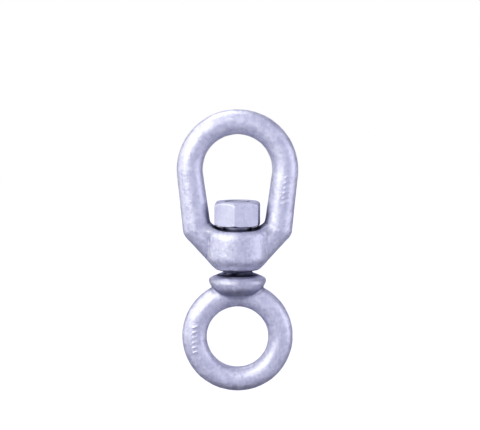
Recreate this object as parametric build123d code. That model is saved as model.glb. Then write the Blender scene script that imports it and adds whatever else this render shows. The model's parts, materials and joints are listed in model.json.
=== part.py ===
from build123d import *
from math import cos, radians, sin, sqrt, tan
import os

# Anchor swivel, in millimetres and degrees. +Z runs up the swivel axis, +X across the bow and the
# ring, and -Y is the front. The origin is the centre of the bow's crown arc, where a shackle bears.

# Bow: a bar bent in the XZ plane, thickening from the crown down the legs. Below the elbows it runs
# in towards the axis by this share of the way, to end inside the collar
CROWN_RADIUS = 29.7
CROWN_BAR_RADIUS = 7.85
SIDE_BAR_RADIUS = 8.3
LEG_BAR_RADIUS = 9.0
LEG_LEAN = 7.0
ELBOW_Z = -36.8
SHOULDER_ANGLE = 42.5
SHOULDER_REACH = 0.6

# Collar: the boss at the foot of the bow, bored for the shank
COLLAR_RADIUS = 19.8
COLLAR_HEIGHT = 25.6
COLLAR_RIM_ROUND = 6.0
COLLAR_FOOT_ROUND = 5.8
SEAT_Z = -37.2
SEAT_WIDTH = 33.2
SEAT_CORNER_ROUND = 5.0
SEAT_ROOM = 12.0
BORE_CHAMFER = 0.8

# Eye: ring, saucer flange and shank
RING_DEPTH = 105.35
EYE_HOLE_RADIUS = 19.1
RING_BAR_RADIUS = 7.95
RING_BAR_RISE = 0.22
RING_LAND = 3.0
FLANGE_RADIUS = 18.05
FLANGE_ABOVE_RING = 35.95
FLANGE_RIM_ROUND = 2.2
FLANGE_TOP_SLOPE = 20.0
FLANGE_FLANK_ANGLE = 25.0
FLANGE_BOWL_RADIUS = 20.0
FLANGE_ROOT_ABOVE_RING = 25.9
NECK_ROUND = 1.2
SHANK_RADIUS = 9.0
SHANK_CLEARANCE = 0.08

# Nut and threaded end. The 5/8 inch thread is plain, at its crest radius, on both
NUT_GAP = 2.3
NUT_ACROSS_FLATS = 27.1
NUT_HEIGHT = 15.4
NUT_TURN = 6.7
NUT_CHAMFER_ANGLE = 30.0
NUT_TOP_FACE_RADIUS = 12.4
NUT_FOOT_FACE_RADIUS = 14.2
NUT_COUNTERSINK = 0.9
THREAD_RADIUS = 7.94
THREAD_ROOT_RADIUS = 6.69
THREAD_CLEARANCE = 0.03
THREAD_RELIEF = 2.0
STUD_END_CHAMFER = 1.3
STUD_END_DEPTH = 0.6

# Slotted spring pin through the nut and the threaded end
PIN_RADIUS = 2.0
PIN_WALL = 0.8
PIN_SLOT = 0.9
PIN_RECESS = 0.5
PIN_END_CHAMFER = 0.3

COLLAR_FOOT_Z = SEAT_Z - COLLAR_HEIGHT
NUT_FOOT_Z = SEAT_Z + NUT_GAP
NUT_TOP_Z = NUT_FOOT_Z + NUT_HEIGHT
STUD_TOP_Z = NUT_TOP_Z - STUD_END_DEPTH
PIN_Z = NUT_FOOT_Z + NUT_HEIGHT / 2
FROM_BASE = (Align.CENTER, Align.CENTER, Align.MIN)


def turned(points):
    """A body turned about the swivel axis from (radius, height) corners."""
    return revolve(Plane.XZ * make_face(Polyline(*points, close=True)), Axis.Z)


def rod(radius, foot_z, top_z):
    """A plain cylinder on the swivel axis."""
    return Pos(0, 0, foot_z) * Cylinder(radius, top_z - foot_z, align=FROM_BASE)


def round_section(path, position, radius):
    """A round bar section square to a centre line."""
    return (Plane(origin=path @ position, z_dir=path % position) * Circle(radius)).face()


def elbow_x():
    """How far out the legs' centre lines are at the elbows."""
    lean = radians(LEG_LEAN)
    side_z = -CROWN_RADIUS * sin(lean)
    return CROWN_RADIUS * cos(lean) - (side_z - ELBOW_Z) * tan(lean)


def bow_bar():
    """Crown and both legs, one sweep from elbow to elbow."""
    lean = radians(LEG_LEAN)
    side_x = CROWN_RADIUS * cos(lean)
    side_z = -CROWN_RADIUS * sin(lean)
    left_leg = Line((-elbow_x(), 0, ELBOW_Z), (-side_x, 0, side_z))
    crown = ThreePointArc((-side_x, 0, side_z), (0, 0, CROWN_RADIUS), (side_x, 0, side_z))
    right_leg = Line((side_x, 0, side_z), (elbow_x(), 0, ELBOW_Z))
    path = Wire([left_leg, crown, right_leg])
    leg_share = left_leg.length / path.length
    stations = [
        (0, LEG_BAR_RADIUS),
        (leg_share, SIDE_BAR_RADIUS),
        (0.5, CROWN_BAR_RADIUS),
        (1 - leg_share, SIDE_BAR_RADIUS),
        (1, LEG_BAR_RADIUS),
    ]
    sections = [round_section(path, position, radius) for position, radius in stations]
    return sweep(sections, path=path, multisection=True)


def shoulder(side):
    """The elbow under one leg and the bar that runs from it into the collar."""
    lean_in = radians(SHOULDER_ANGLE)
    elbow = (side * elbow_x(), 0, ELBOW_Z)
    direction = (-side * sin(lean_in), 0, -cos(lean_in))
    run = SHOULDER_REACH * elbow_x() / sin(lean_in)
    bar = extrude(Plane(origin=elbow, z_dir=direction) * Circle(LEG_BAR_RADIUS), run)
    return bar + Pos(*elbow) * Sphere(LEG_BAR_RADIUS)


def collar():
    """The boss: rounded rim, upright wall, then a cone in line with the shoulders' outsides."""
    lean_in = radians(SHOULDER_ANGLE)
    edge_x = elbow_x() + LEG_BAR_RADIUS * cos(lean_in)
    edge_z = ELBOW_Z - LEG_BAR_RADIUS * sin(lean_in)
    cone_top_z = edge_z - (edge_x - COLLAR_RADIUS) / tan(lean_in)
    foot_radius = edge_x - (edge_z - COLLAR_FOOT_Z) * tan(lean_in)
    outline = Polyline(
        (0, COLLAR_FOOT_Z),
        (foot_radius, COLLAR_FOOT_Z),
        (COLLAR_RADIUS, cone_top_z),
        (COLLAR_RADIUS, SEAT_Z),
        (0, SEAT_Z),
        close=True,
    )
    profile = make_face(outline)
    rim = profile.vertices().filter_by(lambda v: v.X > 1 and v.Y > cone_top_z + 1)
    profile = fillet(rim, COLLAR_RIM_ROUND)
    foot = profile.vertices().filter_by(lambda v: v.X > 1 and v.Y < COLLAR_FOOT_Z + 1)
    profile = fillet(foot, COLLAR_FOOT_ROUND)
    return revolve(Plane.XZ * profile, Axis.Z)


def seat_room():
    """The space over the seat, square across the collar and rounded up into both legs."""
    outline = Pos(0, SEAT_Z + SEAT_ROOM / 2) * Rectangle(SEAT_WIDTH, SEAT_ROOM)
    foot = outline.vertices().filter_by(lambda v: v.Y < SEAT_Z + 1)
    outline = fillet(foot, SEAT_CORNER_ROUND)
    return extrude(Plane.XZ * outline, 2 * COLLAR_RADIUS, both=True)


def make_bow():
    """The forged bow with its bored collar."""
    body = bow_bar() + collar() + shoulder(1) + shoulder(-1)
    body -= seat_room()
    bore_radius = SHANK_RADIUS + SHANK_CLEARANCE
    body -= rod(bore_radius, COLLAR_FOOT_Z - 1, SEAT_Z + 1)
    mouth_radius = bore_radius + BORE_CHAMFER
    for mouth_z, inner_z in (
        (SEAT_Z, SEAT_Z - BORE_CHAMFER),
        (COLLAR_FOOT_Z, COLLAR_FOOT_Z + BORE_CHAMFER),
    ):
        body -= turned([(0, mouth_z), (mouth_radius, mouth_z), (bore_radius, inner_z), (0, inner_z)])
    return body


def pin_direction():
    """Placement that lays a body on +Z along the lock pin, square to the nut's side flats."""
    return Pos(0, 0, PIN_Z) * Rot(0, 0, -NUT_TURN) * Rot(0, 90, 0)


def threaded_end():
    """The stud above the shank's shoulder: relief groove, thread to its crests, end chamfer."""
    relief_top_z = NUT_FOOT_Z + THREAD_RELIEF
    return turned([
        (0, NUT_FOOT_Z),
        (THREAD_ROOT_RADIUS, NUT_FOOT_Z),
        (THREAD_ROOT_RADIUS, relief_top_z - THREAD_RADIUS + THREAD_ROOT_RADIUS),
        (THREAD_RADIUS, relief_top_z),
        (THREAD_RADIUS, STUD_TOP_Z - STUD_END_CHAMFER),
        (THREAD_RADIUS - STUD_END_CHAMFER, STUD_TOP_Z),
        (0, STUD_TOP_Z),
    ])


def saucer_and_shank():
    """The flange, a round-bottomed bowl sunk into the top of the ring, with the shank on it."""
    rim_x = FLANGE_RADIUS - FLANGE_RIM_ROUND
    rim_z = FLANGE_ABOVE_RING - RING_DEPTH
    root_z = FLANGE_ROOT_ABOVE_RING - RING_DEPTH
    slope = radians(FLANGE_TOP_SLOPE)
    flank = radians(FLANGE_FLANK_ANGLE)
    shelf = (rim_x + FLANGE_RIM_ROUND * sin(slope), rim_z + FLANGE_RIM_ROUND * cos(slope))
    waist = (rim_x + FLANGE_RIM_ROUND * cos(flank), rim_z - FLANGE_RIM_ROUND * sin(flank))
    bowl_x = waist[0] - FLANGE_BOWL_RADIUS * cos(flank)
    bowl_z = waist[1] + FLANGE_BOWL_RADIUS * sin(flank)
    root_x = bowl_x + sqrt(FLANGE_BOWL_RADIUS**2 - (bowl_z - root_z) ** 2)
    middle = radians(45)
    belly = (bowl_x + FLANGE_BOWL_RADIUS * cos(middle), bowl_z - FLANGE_BOWL_RADIUS * sin(middle))
    neck_x = SHANK_RADIUS + NECK_ROUND
    neck_z = shelf[1] + (shelf[0] - neck_x) * tan(slope)
    outline = [
        Line((0, root_z), (root_x, root_z)),
        ThreePointArc((root_x, root_z), belly, waist),
        ThreePointArc(waist, (FLANGE_RADIUS, rim_z), shelf),
        Line(shelf, (neck_x, neck_z)),
        Line((neck_x, neck_z), (SHANK_RADIUS, neck_z + NECK_ROUND)),
        Line((SHANK_RADIUS, neck_z + NECK_ROUND), (SHANK_RADIUS, NUT_FOOT_Z)),
        Line((SHANK_RADIUS, NUT_FOOT_Z), (0, NUT_FOOT_Z)),
        Line((0, NUT_FOOT_Z), (0, root_z)),
    ]
    return revolve(Plane.XZ * make_face(outline), Axis.Z)


def half_ring():
    """The ring's +X half: the bar's circle stands a little high, so it thickens towards the top."""
    radius = EYE_HOLE_RADIUS + RING_BAR_RADIUS
    centre_z = RING_BAR_RISE - RING_DEPTH
    foot = (0, 0, centre_z - radius)
    top = (0, 0, centre_z + radius)
    path = Wire([ThreePointArc(foot, (radius, 0, centre_z), top)])
    stations = [
        (0, RING_BAR_RADIUS - RING_BAR_RISE),
        (0.5, RING_BAR_RADIUS),
        (1, RING_BAR_RADIUS + RING_BAR_RISE),
    ]
    sections = [round_section(path, position, radius) for position, radius in stations]
    return sweep(sections, path=path, multisection=True)


def make_eye():
    """The forged eye: ring, flange, shank and threaded end, with the pin's cross hole."""
    ring = half_ring() + mirror(half_ring(), Plane.YZ)
    land_depth = RING_BAR_RADIUS - sqrt(RING_BAR_RADIUS**2 - (RING_LAND / 2) ** 2)
    land_radius = EYE_HOLE_RADIUS + land_depth
    trim = Pos(0, 0, -RING_DEPTH) * Rot(90, 0, 0) * Cylinder(land_radius, 4 * RING_BAR_RADIUS)
    body = ring + saucer_and_shank() - trim + threaded_end()
    return body - pin_direction() * Cylinder(PIN_RADIUS, 2 * NUT_ACROSS_FLATS)


def make_nut():
    """Hex nut, chamfered more on its top than on its foot, tapped, with the pin's cross hole."""
    outline = Rot(0, 0, 30 - NUT_TURN) * RegularPolygon(NUT_ACROSS_FLATS / 2, 6, major_radius=False)
    body = Pos(0, 0, NUT_FOOT_Z) * extrude(outline, NUT_HEIGHT)
    bore_radius = THREAD_RADIUS + THREAD_CLEARANCE
    body -= rod(bore_radius, NUT_FOOT_Z - 1, NUT_TOP_Z + 1)
    outer_radius = NUT_ACROSS_FLATS
    slope = tan(radians(NUT_CHAMFER_ANGLE))
    body &= turned([
        (0, NUT_FOOT_Z),
        (NUT_FOOT_FACE_RADIUS, NUT_FOOT_Z),
        (outer_radius, NUT_FOOT_Z + slope * (outer_radius - NUT_FOOT_FACE_RADIUS)),
        (outer_radius, NUT_TOP_Z - slope * (outer_radius - NUT_TOP_FACE_RADIUS)),
        (NUT_TOP_FACE_RADIUS, NUT_TOP_Z),
        (0, NUT_TOP_Z),
    ])
    mouth_radius = bore_radius + NUT_COUNTERSINK
    for face_z, inner_z in (
        (NUT_FOOT_Z, NUT_FOOT_Z + NUT_COUNTERSINK),
        (NUT_TOP_Z, NUT_TOP_Z - NUT_COUNTERSINK),
    ):
        body -= turned([(0, face_z), (mouth_radius, face_z), (bore_radius, inner_z), (0, inner_z)])
    return body - pin_direction() * Cylinder(PIN_RADIUS, 2 * NUT_ACROSS_FLATS)


def make_lock_pin():
    """Slotted spring pin with chamfered ends, slot upwards."""
    length = NUT_ACROSS_FLATS - 2 * PIN_RECESS
    tube = Cylinder(PIN_RADIUS, length)
    tube = chamfer(tube.edges().filter_by(GeomType.CIRCLE), PIN_END_CHAMFER)
    tube -= Cylinder(PIN_RADIUS - PIN_WALL, length)
    tube -= Pos(-PIN_RADIUS, 0, 0) * Box(2 * PIN_RADIUS, PIN_SLOT, length)
    return pin_direction() * tube


NODES = {
    "bow": make_bow,
    "eye": make_eye,
    "nut": make_nut,
    "lock_pin": make_lock_pin,
}

os.makedirs("parts", exist_ok=True)
for node, make in NODES.items():
    export_step(make(), f"parts/{node}.step")
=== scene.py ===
import json
import math

import bpy
import numpy as np
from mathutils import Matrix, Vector, noise


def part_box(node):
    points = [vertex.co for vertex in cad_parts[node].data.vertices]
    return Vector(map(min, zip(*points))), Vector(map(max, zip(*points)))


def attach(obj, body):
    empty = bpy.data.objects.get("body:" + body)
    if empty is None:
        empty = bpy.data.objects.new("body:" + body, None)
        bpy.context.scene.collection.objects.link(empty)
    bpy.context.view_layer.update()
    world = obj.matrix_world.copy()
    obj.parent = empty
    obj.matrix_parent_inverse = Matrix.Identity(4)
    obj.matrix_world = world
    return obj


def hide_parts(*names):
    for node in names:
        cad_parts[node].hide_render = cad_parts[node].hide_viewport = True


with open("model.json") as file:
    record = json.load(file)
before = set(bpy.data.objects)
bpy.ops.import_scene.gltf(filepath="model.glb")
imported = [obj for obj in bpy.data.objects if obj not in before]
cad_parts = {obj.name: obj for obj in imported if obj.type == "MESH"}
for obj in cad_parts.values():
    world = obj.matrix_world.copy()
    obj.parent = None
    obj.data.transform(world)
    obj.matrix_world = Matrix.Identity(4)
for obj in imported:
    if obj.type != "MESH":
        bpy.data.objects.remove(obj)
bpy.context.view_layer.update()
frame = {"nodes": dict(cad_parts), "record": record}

# Galvanised anchor swivel. The forged pieces are meshes on a smooth-blended distance formula of each
# forging, worked out in millimetres and written in metres. Their main sizes come from the frame.
MM = 1000.0

bow_low, bow_high = (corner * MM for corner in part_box("bow"))
eye_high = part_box("eye")[1] * MM
nut_low, nut_high = (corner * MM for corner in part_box("nut"))
mounts = {mount["name"]: mount for mount in frame["record"]["mounts"]}

# Bow
CROWN_BAR = 7.85
SIDE_BAR = 8.3
LEG_BAR = 9.0
CROWN_RADIUS = bow_high.z - CROWN_BAR
LEG_LEAN = math.radians(7.0)
ELBOW_Z = -36.8
SHOULDER_LEAN = math.radians(42.5)
COLLAR_RADIUS = bow_high.y
COLLAR_FOOT_Z = bow_low.z
COLLAR_WALL_ROUND = 8.0
COLLAR_CONE_TURN = 42
COLLAR_FOOT_ROUND = 4.8
COLLAR_FOOT_TURN = 48
SEAT_Z = COLLAR_FOOT_Z + 25.6
RIM_WIDTH = 3.8
RIM_DEPTH = 6.0
SEAT_HALF_WIDTH = 16.6
SEAT_CORNER = 4.0
SEAT_FLAT_HALF_WIDTH = 9.0
SEAT_RISE = 0.14
SEAT_RISE_RUN = 8.0
SEAT_ROOM = 12.0
SEAT_ROOM_EDGE = 0.5
SHOULDER_FILLET = 0.4
LEG_FILLET_GAIN = 3.8
LEG_FILLET_Z = -42.0
LEG_FILLET_RUN = 4.0
BORE_RADIUS = 9.08
BORE_EDGE = 0.9
BORE_ABOVE_SEAT = 4.0

# Eye
HOLE_Z = mounts["eye_hole"]["pos_m"][2] * MM
LAND_RADIUS = mounts["eye_hole"]["dims"]["r_mm"]
LAND_ROUND = 8.0
LAND_TURN = 11
RING_BAR = 7.95
RING_BAR_RISE = 0.22
RING_RADIUS = eye_high.x - RING_BAR
FLANGE_RADIUS = eye_high.y
FLANGE_Z = HOLE_Z + 35.95
FLANGE_RIM = 2.2
FLANGE_DROOP = 1.2
FLANGE_FULLNESS = 3.4
FLANGE_TOP_SLOPE = math.radians(20)
FLANGE_EDGE_GAIN = 0.2
FLANGE_EDGE_TURN = 95
FLANGE_FILLET = 1.2
BOWL_RADIUS = 20.0
BOWL_Z = FLANGE_Z + 7.7
SHANK_RADIUS = 9.0
NECK_FILLET = 1.6
STUD_RADIUS = 7.94
STUD_END_ROUND = 1.5
STUD_OVERLAP = 1.0

# Nut and pin
NUT_APOTHEM = 13.55
NUT_TURN = math.radians(-6.7)
NUT_TOP_FACE_RADIUS = 12.4
NUT_FOOT_FACE_RADIUS = 14.2
NUT_CORNER_ROUND = 0.5
NUT_TOP_EDGE = 1.6
NUT_FOOT_EDGE = 0.6
NUT_CHAMFER_SIN = 0.5
NUT_CHAMFER_COS = math.sqrt(0.75)
NUT_BORE = 7.97
NUT_BORE_EDGE = 0.8
PIN_RADIUS = 2.0
PIN_HOLE_EDGE = 0.35
PIN_Z = (nut_low.z + nut_high.z) / 2

# Zinc, trimmed flash and marks
SKIN_DEPTH = 0.26
NUT_SKIN_DEPTH = 0.08
FLASH_DEPTH = 0.08
FLASH_HALF_WIDTH = 1.4
MARK_BARS = 6
MARK_PITCH = 3.2
MARK_HEIGHT = 0.34
MARK_HALF_LENGTH = 1.3
MARK_HALF_WIDTH = 0.95
MARK_SLANT = 0.35
MARK_FRONT_Y = -3.0
LEG_MARK_X = 30.3
LEG_MARK_Z = -12.0
LEG_INSIDE_X = 20.0
RING_MARK_X = -26.4
RING_MARK_Z = -106.0
RING_INSIDE_X = -18.0


# ---- distance formulas, negative inside ----

def blend_min(a, b, radius, turn=90):
    """The nearer of two shapes, with a fillet of this radius where their surfaces turn by this angle."""
    width = 6 * radius * (1 - math.cos(math.radians(turn / 2)))
    overlap = np.maximum(width - np.abs(a - b), 0) / width
    return np.minimum(a, b) - overlap**3 * width / 6


def blend_max(a, b, radius, turn=90):
    """What two shapes share, with the edge rounded to this radius."""
    return -blend_min(-a, -b, radius, turn)


def bar_distance(points, start, end, start_radius, end_radius):
    """A round bar between two points, with a radius that changes evenly."""
    start = np.array(start)
    run = np.array(end) - start
    share = np.clip((points - start) @ run / (run @ run), 0, 1)
    gap = np.linalg.norm(points - start - share[:, None] * run, axis=1)
    return gap - start_radius - share * (end_radius - start_radius)


def axis_radius(points):
    """Distance from the swivel axis."""
    return np.hypot(points[:, 0], points[:, 1])


def pin_hole(points):
    """The cross hole for the lock pin, square to the nut's side flats."""
    direction = np.array((math.cos(NUT_TURN), math.sin(NUT_TURN), 0))
    across = points - np.array((0, 0, PIN_Z))
    along = across @ direction
    return np.linalg.norm(across - along[:, None] * direction, axis=1) - PIN_RADIUS


def bow_bar(points):
    """Crown, legs and shoulders as one bar, the same on both sides."""
    side = (CROWN_RADIUS * math.cos(LEG_LEAN), 0, -CROWN_RADIUS * math.sin(LEG_LEAN))
    elbow = (side[0] - (side[2] - ELBOW_Z) * math.tan(LEG_LEAN), 0, ELBOW_Z)
    run = 0.6 * elbow[0] / math.sin(SHOULDER_LEAN)
    foot = (elbow[0] - run * math.sin(SHOULDER_LEAN), 0, ELBOW_Z - run * math.cos(SHOULDER_LEAN))
    half = points.copy()
    half[:, 0] = np.abs(half[:, 0])
    angle = np.clip(np.arctan2(half[:, 2], half[:, 0]), -LEG_LEAN, math.pi / 2)
    centre = CROWN_RADIUS * np.stack((np.cos(angle), 0 * angle, np.sin(angle)), axis=1)
    share = (angle + LEG_LEAN) / (math.pi / 2 + LEG_LEAN)
    crown = np.linalg.norm(half - centre, axis=1) - SIDE_BAR - share * (CROWN_BAR - SIDE_BAR)
    leg = bar_distance(half, side, elbow, SIDE_BAR, LEG_BAR)
    shoulder = bar_distance(half, elbow, foot, LEG_BAR, LEG_BAR)
    return np.minimum(np.minimum(crown, leg), shoulder)


def seat_height(points):
    """The seat: flat round the bore, and rising a little towards the legs."""
    beside = np.abs(points[:, 0]) - SEAT_FLAT_HALF_WIDTH
    return SEAT_Z + SEAT_RISE * np.clip(beside, 0, SEAT_RISE_RUN)


def bow_collar(points):
    """The boss: rounded rim, upright wall and a cone in line with the outsides of the shoulders."""
    radius = axis_radius(points)
    side_z = -CROWN_RADIUS * math.sin(LEG_LEAN)
    elbow_x = CROWN_RADIUS * math.cos(LEG_LEAN) - (side_z - ELBOW_Z) * math.tan(LEG_LEAN)
    edge_x = elbow_x + LEG_BAR * math.cos(SHOULDER_LEAN)
    edge_z = ELBOW_Z - LEG_BAR * math.sin(SHOULDER_LEAN)
    cone = (radius - edge_x) * math.cos(SHOULDER_LEAN) - (points[:, 2] - edge_z) * math.sin(SHOULDER_LEAN)
    wall = blend_max(radius - COLLAR_RADIUS, cone, COLLAR_WALL_ROUND, COLLAR_CONE_TURN)
    outwards = np.maximum(radius - COLLAR_RADIUS + RIM_WIDTH, 0) / RIM_WIDTH
    above_seat = points[:, 2] - seat_height(points)
    upwards = np.maximum(above_seat + RIM_DEPTH, 0) / RIM_DEPTH
    rim = (np.hypot(outwards, upwards) - 1) * RIM_WIDTH
    body = np.maximum(np.maximum(wall, above_seat), rim)
    return blend_max(body, COLLAR_FOOT_Z - points[:, 2], COLLAR_FOOT_ROUND, COLLAR_FOOT_TURN)


def bow_shape(points):
    """The whole bow: bar and collar, less the room over the seat and the bore."""
    beside = np.abs(points[:, 0]) - SEAT_HALF_WIDTH
    room = blend_max(beside, seat_height(points) - points[:, 2], SEAT_CORNER)
    room = np.maximum(room, points[:, 2] - SEAT_Z - SEAT_ROOM)
    legs = blend_max(bow_bar(points), -room, SEAT_ROOM_EDGE)
    up_leg = np.clip((points[:, 2] - LEG_FILLET_Z) / LEG_FILLET_RUN, 0, 1)
    body = blend_min(legs, bow_collar(points), SHOULDER_FILLET + LEG_FILLET_GAIN * up_leg)
    bore = np.maximum(axis_radius(points) - BORE_RADIUS, points[:, 2] - SEAT_Z - BORE_ABOVE_SEAT)
    return blend_max(body, -bore, BORE_EDGE)


def ring_shape(points):
    """The ring, a little thicker at the top, trimmed to a narrow land inside."""
    centred = points - np.array((0, 0, HOLE_Z + RING_BAR_RISE))
    around = np.hypot(centred[:, 0], centred[:, 2])
    bar = RING_BAR + RING_BAR_RISE * centred[:, 2] / np.maximum(around, 1)
    torus = np.hypot(around - RING_RADIUS, centred[:, 1]) - bar
    hole = LAND_RADIUS - np.hypot(points[:, 0], points[:, 2] - HOLE_Z)
    return blend_max(torus, hole, LAND_ROUND, LAND_TURN)


def eye_shape(points):
    """Ring, saucer flange that droops and is fuller at the front and back, shank and stud."""
    radius = axis_radius(points)
    height = points[:, 2]
    forward = np.minimum(np.abs(points[:, 1]) / FLANGE_RADIUS, 1) ** 2
    above = height + FLANGE_DROOP * forward
    rim = FLANGE_RIM + FLANGE_FULLNESS * forward
    bowl = np.hypot(radius, above - BOWL_Z) - BOWL_RADIUS
    slope = (above - FLANGE_Z) * math.cos(FLANGE_TOP_SLOPE)
    slope += (radius - FLANGE_RADIUS + rim) * math.sin(FLANGE_TOP_SLOPE) - rim
    flange = blend_max(bowl, slope, rim + FLANGE_EDGE_GAIN, FLANGE_EDGE_TURN)
    shank = np.maximum(radius - SHANK_RADIUS, height - nut_low.z)
    shank = np.maximum(shank, FLANGE_Z - height)
    end = blend_max(radius - STUD_RADIUS, height - eye_high.z, STUD_END_ROUND)
    stud = np.maximum(end, nut_low.z - STUD_OVERLAP - height)
    body = blend_min(ring_shape(points), flange, FLANGE_FILLET)
    body = np.minimum(blend_min(body, shank, NECK_FILLET), stud)
    return np.maximum(body, -pin_hole(points))


def nut_shape(points):
    """Hexagon with worn corners, chamfered on both faces, bored and cross-drilled."""
    flats = [math.radians(60 * side) + NUT_TURN for side in (1, 2, 3)]
    sides = [np.abs(points[:, 0] * math.cos(a) + points[:, 1] * math.sin(a)) - NUT_APOTHEM for a in flats]
    hexagon = blend_max(sides[0], sides[1], NUT_CORNER_ROUND, 60)
    hexagon = blend_max(hexagon, sides[2], NUT_CORNER_ROUND, 60)
    above = points[:, 2] - PIN_Z
    height = np.abs(above) - (nut_high.z - nut_low.z) / 2
    radius = axis_radius(points)
    face_radius = np.where(above > 0, NUT_TOP_FACE_RADIUS, NUT_FOOT_FACE_RADIUS)
    chamfer = (radius - face_radius) * NUT_CHAMFER_SIN + height * NUT_CHAMFER_COS
    edge = np.where(above > 0, NUT_TOP_EDGE, NUT_FOOT_EDGE)
    body = blend_max(blend_max(hexagon, chamfer, edge, 60), height, edge, 40)
    body = blend_max(body, NUT_BORE - radius, NUT_BORE_EDGE)
    return blend_max(body, -pin_hole(points), PIN_HOLE_EDGE)


def whole_shape(points):
    """Bow, eye and nut together, at rest."""
    return np.minimum(np.minimum(bow_shape(points), eye_shape(points)), nut_shape(points))


# ---- meshes on those formulas ----

def gradient(shape, points):
    """Slope of a distance formula at each point."""
    step = 0.02
    slope = np.empty_like(points)
    for axis in range(3):
        offset = np.zeros(3)
        offset[axis] = step
        slope[:, axis] = (shape(points + offset) - shape(points - offset)) / (2 * step)
    return slope


def settle(shape, points, rounds):
    """Moves points onto the surface, by at most longest_step in each round."""
    longest_step = 0.6
    for _ in range(rounds):
        slope = gradient(shape, points)
        steepness = np.maximum((slope**2).sum(axis=1), 0.2)
        step = -(shape(points) / steepness)[:, None] * slope
        length = np.linalg.norm(step, axis=1, keepdims=True)
        points = points + step * np.minimum(1, longest_step / np.maximum(length, 1e-9))
    return points


def neighbour_mean(values, edges):
    """Mean of each vertex's neighbours, for one column of values."""
    total = np.bincount(edges[:, 0], values[edges[:, 1]], len(values))
    total += np.bincount(edges[:, 1], values[edges[:, 0]], len(values))
    count = np.bincount(edges.ravel(), minlength=len(values))
    return total / np.maximum(count, 1)


def relax(shape, points, edges, rounds):
    """Evens out the mesh along the surface."""
    for _ in range(rounds):
        middle = np.stack([neighbour_mean(points[:, axis], edges) for axis in range(3)], axis=1)
        points = settle(shape, points + 0.5 * (middle - points), 2)
    return points


def noise_at(points, size, seed):
    """Smooth noise of about -1 to 1, with features of this size in millimetres."""
    return np.array([noise.noise(Vector(place)) for place in (points / size + seed).tolist()])


def hidden_share(points, normals):
    """How closed in each point is by the surfaces over it, from 0 in the open to 1 in a slit."""
    reaches = (1.0, 2.0, 4.0)
    hidden = np.zeros(len(points))
    for reach in reaches:
        gap = whole_shape(points + reach * normals)
        hidden += np.clip(1 - gap / reach, 0, 1) / len(reaches)
    return hidden


def ramp(values, start, end):
    """0 up to start, 1 from end on, and even between; start may be above end."""
    return np.clip((values - start) / (end - start), 0, 1)


def painted_shade_share(points, normals):
    """Painted shade on the zinc: in slits, on the flange's top by the neck and its underside, and on the
    seat.
    """
    radius = axis_radius(points)
    height = points[:, 2]
    # How closed in each point is, used as painted shade
    hidden = hidden_share(points, normals)

    # Painted shade on the top of the flange by the neck, and a strip of neck inside it where most of that
    # painted shade is taken off, so it stays brighter
    below_collar = ramp(height, COLLAR_FOOT_Z, COLLAR_FOOT_Z - 0.5)
    flange_top = below_collar * ramp(height, FLANGE_Z, FLANGE_Z + 1)
    hidden *= 1 + 0.8 * flange_top * ramp(radius, 14.5, 12.5)
    unshaded_neck_strip = ramp(radius, SHANK_RADIUS + 2.6, SHANK_RADIUS + 2.0)
    unshaded_neck_strip *= ramp(height, COLLAR_FOOT_Z - 0.8, COLLAR_FOOT_Z - 1.1)
    unshaded_neck_strip *= np.clip(0.7 + noise_at(points, 5.0, 7.0), 0, 1)
    hidden = np.clip(hidden, 0, 1) * (1 - 0.95 * unshaded_neck_strip)

    # Painted shade on the flange's underside down to the ring, and on the seat round the nut
    shade_under_flange = ramp(0.2 * noise_at(points, 5.0, 2.0) - normals[:, 2], 0.05, 0.7)
    shade_under_flange *= ramp(radius, 19, 16) * ramp(height, FLANGE_Z + 1, FLANGE_Z - 2)
    shade_under_flange *= ramp(height, FLANGE_Z - 9.5, FLANGE_Z - 8)
    seat = ramp(radius, 17.5, 15.5) * np.clip(1.6 - np.abs(height - SEAT_Z), 0, 1)
    return np.maximum(hidden, np.maximum(0.5 * shade_under_flange, 0.6 * seat))


def convexity(points, normals, edges, voxel):
    """How sharply the surface bends: above 0 on edges, below 0 in folds."""
    bend = np.zeros(len(points))
    for axis in range(3):
        bend += (neighbour_mean(points[:, axis], edges) - points[:, axis]) * normals[:, axis]
    for _ in range(4):
        bend = neighbour_mean(bend, edges)
    return np.clip(-bend / (voxel * voxel), -1, 1)


def voxel_copy(node, voxel):
    """An even mesh around a CAD node, as new mesh data."""
    source = frame["nodes"][node]
    copy = bpy.data.objects.new("voxels", source.data.copy())
    bpy.context.scene.collection.objects.link(copy)
    modifier = copy.modifiers.new("voxels", "REMESH")
    modifier.mode = "VOXEL"
    modifier.voxel_size = voxel / MM
    graph = bpy.context.evaluated_depsgraph_get()
    mesh = bpy.data.meshes.new_from_object(copy.evaluated_get(graph))
    bpy.data.objects.remove(copy)
    return mesh


def add_attribute(mesh, name, values):
    """One number for each vertex, for the materials to read."""
    attribute = mesh.attributes.new(name, "FLOAT", "POINT")
    attribute.data.foreach_set("value", values.astype(np.float32))


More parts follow.
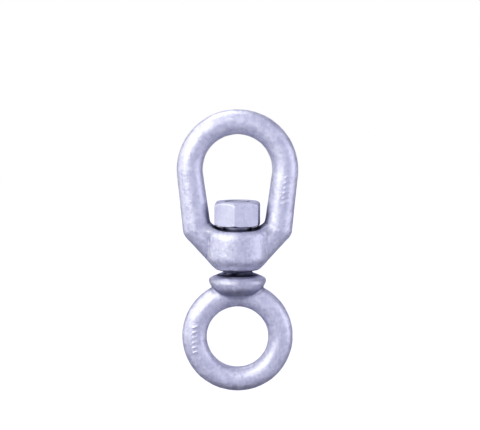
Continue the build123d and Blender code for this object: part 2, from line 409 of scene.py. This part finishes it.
def forging(name, node, shape, finish, voxel):
    """A piece in place of a CAD node: its even mesh settled on the formula, then given its skin."""
    mesh = voxel_copy(node, voxel)
    mesh.name = name
    points = np.empty(len(mesh.vertices) * 3)
    mesh.vertices.foreach_get("co", points)
    points = points.reshape(-1, 3) * MM
    edges = np.empty(len(mesh.edges) * 2, dtype=np.int32)
    mesh.edges.foreach_get("vertices", edges)
    edges = edges.reshape(-1, 2)
    points = settle(shape, points, 8)
    points = relax(shape, points, edges, 6)
    normals = gradient(shape, points)
    normals /= np.maximum(np.linalg.norm(normals, axis=1, keepdims=True), 1e-6)
    # Per vertex: how the surface bends, for edge wear and for painted shade in folds; and painted shade
    # in slits, on the flange and on the seat
    add_attribute(mesh, "edge_wear_and_fold_shade", convexity(points, normals, edges, voxel))
    add_attribute(mesh, "painted_shade", painted_shade_share(points, normals))
    points += finish(points)[:, None] * normals
    mesh.vertices.foreach_set("co", (points / MM).ravel())
    mesh.polygons.foreach_set("use_smooth", np.ones(len(mesh.polygons), dtype=bool))
    mesh.update()
    piece = bpy.data.objects.new(name, mesh)
    bpy.context.scene.collection.objects.link(piece)
    return piece


def zinc_skin(points):
    """Uneven forged and dipped surface, never above the true size."""
    broad = noise_at(points, 9.0, 3.1)
    dimples = noise_at(points, 3.2, 11.7)
    grain = noise_at(points, 1.3, 29.3)
    return SKIN_DEPTH * (-0.5 + 0.3 * broad + 0.35 * dimples + 0.2 * grain)


def flash_line(points):
    """Shallow ground band where the forging's flash was trimmed off, in the XZ plane."""
    inside = np.clip((FLASH_HALF_WIDTH - np.abs(points[:, 1])) / 0.5, 0, 1)
    return -FLASH_DEPTH * inside * (0.8 + 0.4 * noise_at(points, 2.0, 5.0))


def raised_hatch(across, along):
    """A generic row of short slanted bars, softened by the zinc."""
    cover = np.zeros(len(across))
    for bar in range(MARK_BARS):
        place = along - MARK_PITCH * (bar - (MARK_BARS - 1) / 2)
        end_gap = np.maximum(np.abs(across) - MARK_HALF_LENGTH, 0)
        gap = np.hypot(end_gap, (place - MARK_SLANT * across) * 0.94)
        cover = np.maximum(cover, np.clip((MARK_HALF_WIDTH - gap) / 0.8, 0, 1))
    return MARK_HEIGHT * cover * cover * (3 - 2 * cover)


def bow_finish(points):
    """Zinc skin, flash band and the marks on the front of the +X leg; the bore stays true."""
    skin = zinc_skin(points) + flash_line(points)
    in_bore = axis_radius(points) < BORE_RADIUS + 0.4
    skin[in_bore & (points[:, 2] < SEAT_Z)] = 0
    front = (points[:, 1] < MARK_FRONT_Y) & (points[:, 0] > LEG_INSIDE_X)
    along = points[:, 2] - LEG_MARK_Z
    across = points[:, 0] - LEG_MARK_X - along * math.tan(LEG_LEAN)
    skin[front] += raised_hatch(across[front], along[front])
    return skin


def eye_finish(points):
    """Zinc skin below the shank, flash band and the marks on the front of the ring's -X side."""
    on_ring = points[:, 2] < FLANGE_Z - 3
    skin = np.where(points[:, 2] < FLANGE_Z + 3.5, zinc_skin(points), 0)
    skin = skin + np.where(on_ring, flash_line(points), 0)
    front = (points[:, 1] < MARK_FRONT_Y) & (points[:, 0] < RING_INSIDE_X) & on_ring
    skin[front] += raised_hatch(points[front, 0] - RING_MARK_X, points[front, 2] - RING_MARK_Z)
    return skin


def nut_finish(points):
    """Thin, even zinc."""
    broad = noise_at(points, 4.0, 17.0)
    grain = noise_at(points, 1.1, 41.0)
    return NUT_SKIN_DEPTH * (-0.6 + 0.4 * broad + 0.3 * grain)


# ---- materials ----

FORGING_LIGHT = (0.87, 0.88, 0.98)
FORGING_DARK = (0.67, 0.67, 0.81)
NUT_LIGHT = (0.86, 0.87, 0.97)
NUT_DARK = (0.74, 0.75, 0.87)
WORN_GAIN = 1.12
# The dark colour mixed into the zinc as painted shade in slits and folds
SHADE_COLOUR = (0.09, 0.09, 0.17, 1)
ZINC_EDGE_TINT = (0.6, 0.6, 0.68, 1)
SPRING_DARK = (0.16, 0.16, 0.17)
SPRING_LIGHT = (0.42, 0.42, 0.44)


def node_of(tree, kind, inputs=None, **settings):
    """A shader node with its settings and unlinked or linked inputs."""
    made = tree.nodes.new(kind)
    for key, value in settings.items():
        setattr(made, key, value)
    for key, value in (inputs or {}).items():
        if isinstance(value, bpy.types.NodeSocket):
            tree.links.new(value, made.inputs[key])
        else:
            made.inputs[key].default_value = value
    return made


def ramp_of(tree, source, stops):
    """Colour ramp from (position, colour) stops."""
    made = node_of(tree, "ShaderNodeValToRGB", {"Fac": source})
    ends = made.color_ramp.elements
    ends[0].position, ends[0].color = stops[0][0], (*stops[0][1], 1)
    ends[1].position, ends[1].color = stops[-1][0], (*stops[-1][1], 1)
    for position, colour in stops[1:-1]:
        ends.new(position).color = (*colour, 1)
    return made.outputs["Color"]


def noise_of(tree, place, scale, detail):
    """A noise texture's value."""
    texture = {"Vector": place, "Scale": scale, "Detail": detail}
    return node_of(tree, "ShaderNodeTexNoise", texture).outputs[0]


def range_of(tree, value, start, end, low, high):
    """A value moved from one range to another, and kept inside it."""
    return node_of(tree, "ShaderNodeMapRange", {0: value, 1: start, 2: end, 3: low, 4: high}).outputs[0]


def mix_of(tree, share, a, b):
    """Two values mixed."""
    return node_of(tree, "ShaderNodeMix", {0: share, 2: a, 3: b}).outputs[0]


def colour_mix_of(tree, share, a, b, blend_type="MIX"):
    """Two colours mixed."""
    inputs = {0: share, 6: a, 7: b}
    return node_of(tree, "ShaderNodeMix", inputs, data_type="RGBA", blend_type=blend_type).outputs[2]


def metal(name):
    """A new metallic material, its node tree, its shader and the piece's own coordinates."""
    material = bpy.data.materials.new(name)
    material.use_nodes = True
    tree = material.node_tree
    shader = tree.nodes["Principled BSDF"]
    shader.inputs["Metallic"].default_value = 1.0
    return material, tree, shader, node_of(tree, "ShaderNodeTexCoord").outputs["Object"]


def zinc_material(name, light, dark, rough_low, rough_high, grain_depth):
    """Hot-dip zinc: mottled tone, faint runs, worn bright edges, painted shade in slits and folds,
    orange-peel grain.
    """
    material, tree, shader, place = metal(name)
    in_mm = node_of(tree, "ShaderNodeVectorMath", {0: place, "Scale": MM}, operation="SCALE")
    in_mm = in_mm.outputs["Vector"]
    runs = node_of(tree, "ShaderNodeMapping", {"Vector": in_mm, "Scale": (0.9, 0.9, 0.16)}).outputs[0]
    cloud = noise_of(tree, in_mm, 0.16, 4.0)
    streak = noise_of(tree, runs, 1.0, 3.0)
    spangle = node_of(tree, "ShaderNodeTexVoronoi", {"Vector": in_mm, "Scale": 0.55}).outputs["Color"]
    tone = mix_of(tree, 0.3, mix_of(tree, 0.35, cloud, streak), spangle)
    colour = ramp_of(tree, tone, [(0.335, dark), (0.625, light)])

    # Convex edges are lightened as wear; slits, the flange, the seat and concave folds are darkened with
    # a dark colour as painted shade
    wear_and_fold_shade = node_of(tree, "ShaderNodeAttribute", attribute_name="edge_wear_and_fold_shade").outputs["Fac"]
    painted_shade = node_of(tree, "ShaderNodeAttribute", attribute_name="painted_shade").outputs["Fac"]
    worn = range_of(tree, wear_and_fold_shade, 0.06, 0.4, 0.0, 0.6)
    slit_shade = range_of(tree, painted_shade, 0.06, 0.75, 0.0, 0.95)
    fold_shade = range_of(tree, wear_and_fold_shade, -0.06, -0.4, 0.0, 0.4)
    shade_share = node_of(tree, "ShaderNodeMath", {0: slit_shade, 1: fold_shade}, operation="MAXIMUM").outputs[0]
    colour = colour_mix_of(tree, worn, colour, (*(min(1, c * WORN_GAIN) for c in light), 1))
    colour = colour_mix_of(tree, shade_share, colour, SHADE_COLOUR)
    tree.links.new(colour, shader.inputs["Base Color"])
    shader.inputs["Specular Tint"].default_value = ZINC_EDGE_TINT
    rough = range_of(tree, tone, 0.3, 0.7, rough_low, rough_high)
    tree.links.new(rough, shader.inputs["Roughness"])

    relief = mix_of(tree, 0.3, noise_of(tree, in_mm, 1.4, 3.0), noise_of(tree, in_mm, 4.5, 2.0))
    bump = {"Height": relief, "Distance": grain_depth / MM, "Strength": 1.0}
    tree.links.new(node_of(tree, "ShaderNodeBump", bump).outputs[0], shader.inputs["Normal"])
    return material


def spring_material():
    """Dull spring steel with drawn lines along the pin and darker specks."""
    material, tree, shader, place = metal("spring_steel")
    lines = node_of(tree, "ShaderNodeMapping", {"Vector": place, "Scale": (120.0, 2600.0, 2600.0)})
    drawn = noise_of(tree, lines.outputs[0], 1.0, 3.0)
    tone = mix_of(tree, 0.5, drawn, noise_of(tree, place, 900.0, 4.0))
    colour = ramp_of(tree, tone, [(0.35, SPRING_DARK), (0.65, SPRING_LIGHT)])
    tree.links.new(colour, shader.inputs["Base Color"])
    tree.links.new(range_of(tree, tone, 0.3, 0.7, 0.5, 0.3), shader.inputs["Roughness"])
    bump = {"Height": drawn, "Distance": 0.04 / MM}
    tree.links.new(node_of(tree, "ShaderNodeBump", bump).outputs[0], shader.inputs["Normal"])
    return material


# ---- pieces ----

forged_zinc = zinc_material("galvanised_forging", FORGING_LIGHT, FORGING_DARK, 0.38, 0.50, 0.15)
nut_zinc = zinc_material("galvanised_nut", NUT_LIGHT, NUT_DARK, 0.42, 0.52, 0.05)

pieces = (
    ("forged_bow", "bow", "bow_body", bow_shape, bow_finish, forged_zinc, "galvanised_forging", 0.47),
    ("forged_eye", "eye", "eye_body", eye_shape, eye_finish, forged_zinc, "galvanised_forging", 0.45),
    ("hex_nut", "nut", "eye_body", nut_shape, nut_finish, nut_zinc, "galvanised_nut", 0.28),
)
for name, node, body, shape, finish, material, slot, voxel in pieces:
    piece = forging(name, node, shape, finish, voxel)
    piece.data.materials.clear()
    piece.data.materials.append(material)
    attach(piece, body)
    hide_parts(node)

lock_pin = frame["nodes"]["lock_pin"]
for material_slot in lock_pin.material_slots:
    material_slot.material = spring_material()


# ---- floor, light and camera ----

FLOOR_Z = -0.45
AIM = Vector((0.00156, 0, -0.0284))
CAMERA_DISTANCE = 0.8
CAMERA_PITCH = math.radians(5.5)
LIGHT_TARGET = (0, 0, -0.05)

# The room's colour from straight down (0) to straight up (1), and its strength from -Y (0) to +Y (1).
ROOM_BY_HEIGHT = [
    (0.0, (0.10, 0.10, 0.13)),
    (0.03, (0.18, 0.18, 0.23)),
    (0.09, (0.49, 0.49, 0.62)),
    (0.5, (0.61, 0.61, 0.77)),
    (1.0, (0.66, 0.66, 0.82)),
]
ROOM_BY_DEPTH = [(0.0, 1), (0.48, 1), (0.62, 0.5), (0.75, 0.5), (0.9, 0.85), (1.0, 0.9)]


def floor():
    """A plain pale floor well below the swivel, which hangs from its bow."""
    bpy.ops.mesh.primitive_plane_add(size=12, location=(0, 0, FLOOR_Z))
    plane = bpy.context.object
    plane.name = "floor"
    material = bpy.data.materials.new("floor")
    material.use_nodes = True
    shader = material.node_tree.nodes["Principled BSDF"]
    shader.inputs["Base Color"].default_value = (0.9, 0.9, 0.9, 1)
    shader.inputs["Roughness"].default_value = 0.9
    shader.inputs["Emission Color"].default_value = (1, 1, 1, 1)
    shader.inputs["Emission Strength"].default_value = 0.6
    plane.data.materials.append(material)
    plane.visible_glossy = False


def softbox(name, place, width, height, power, colour):
    """A rectangular area light that faces the swivel."""
    data = bpy.data.lights.new(name, "AREA")
    data.shape = "RECTANGLE"
    data.size = width
    data.size_y = height
    data.energy = power
    data.color = colour
    light = bpy.data.objects.new(name, data)
    bpy.context.scene.collection.objects.link(light)
    light.location = place
    towards = Vector(LIGHT_TARGET) - Vector(place)
    light.rotation_euler = towards.to_track_quat("-Z", "Y").to_euler()


def studio():
    """White to the camera; for everything else a soft lavender room, dimmer low down and behind."""
    world = bpy.data.worlds.new("studio")
    bpy.context.scene.world = world
    world.use_nodes = True
    tree = world.node_tree
    direction = node_of(tree, "ShaderNodeTexCoord").outputs["Generated"]
    direction = node_of(tree, "ShaderNodeSeparateXYZ", {0: direction}).outputs
    height = range_of(tree, direction["Z"], -1.0, 1.0, 0.0, 1.0)
    depth = range_of(tree, direction["Y"], -1.0, 1.0, 0.0, 1.0)
    shade = ramp_of(tree, depth, [(place, (share, share, share)) for place, share in ROOM_BY_DEPTH])
    colour = colour_mix_of(tree, 1.0, ramp_of(tree, height, ROOM_BY_HEIGHT), shade, "MULTIPLY")
    room = tree.nodes["Background"]
    tree.links.new(colour, room.inputs["Color"])
    white = node_of(tree, "ShaderNodeBackground", {"Color": (1, 1, 1, 1), "Strength": 1.0})
    to_camera = node_of(tree, "ShaderNodeLightPath").outputs["Is Camera Ray"]
    mixed = node_of(tree, "ShaderNodeMixShader", {0: to_camera, 1: room.outputs[0], 2: white.outputs[0]})
    tree.links.new(mixed.outputs[0], tree.nodes["World Output"].inputs["Surface"])


def camera():
    """In front of the swivel and a little above it, looking along +Y and slightly down."""
    data = bpy.data.cameras.new("camera")
    data.sensor_fit = "HORIZONTAL"
    data.sensor_width = 36.0
    data.lens = 96.06
    made = bpy.data.objects.new("camera", data)
    bpy.context.scene.collection.objects.link(made)
    back = Vector((0, -math.cos(CAMERA_PITCH), math.sin(CAMERA_PITCH)))
    made.location = AIM + CAMERA_DISTANCE * back
    made.rotation_euler = (math.pi / 2 - CAMERA_PITCH, 0, 0)
    bpy.context.scene.camera = made


floor()
studio()
camera()
softbox("key", (-0.62, -0.68, 0.34), 0.85, 0.85, 3.6, (1.0, 1.0, 0.84))
softbox("left", (-0.82, 0.18, 0.22), 0.6, 1.4, 2.1, (1.0, 1.0, 0.95))
softbox("top", (-0.24, 0.2, 0.8), 0.6, 0.6, 2.1, (1.0, 1.0, 0.97))
softbox("fill", (0.85, -0.14, 0.04), 0.5, 0.7, 1.0, (0.97, 0.97, 1.0))
bpy.context.scene.view_settings.view_transform = "Standard"
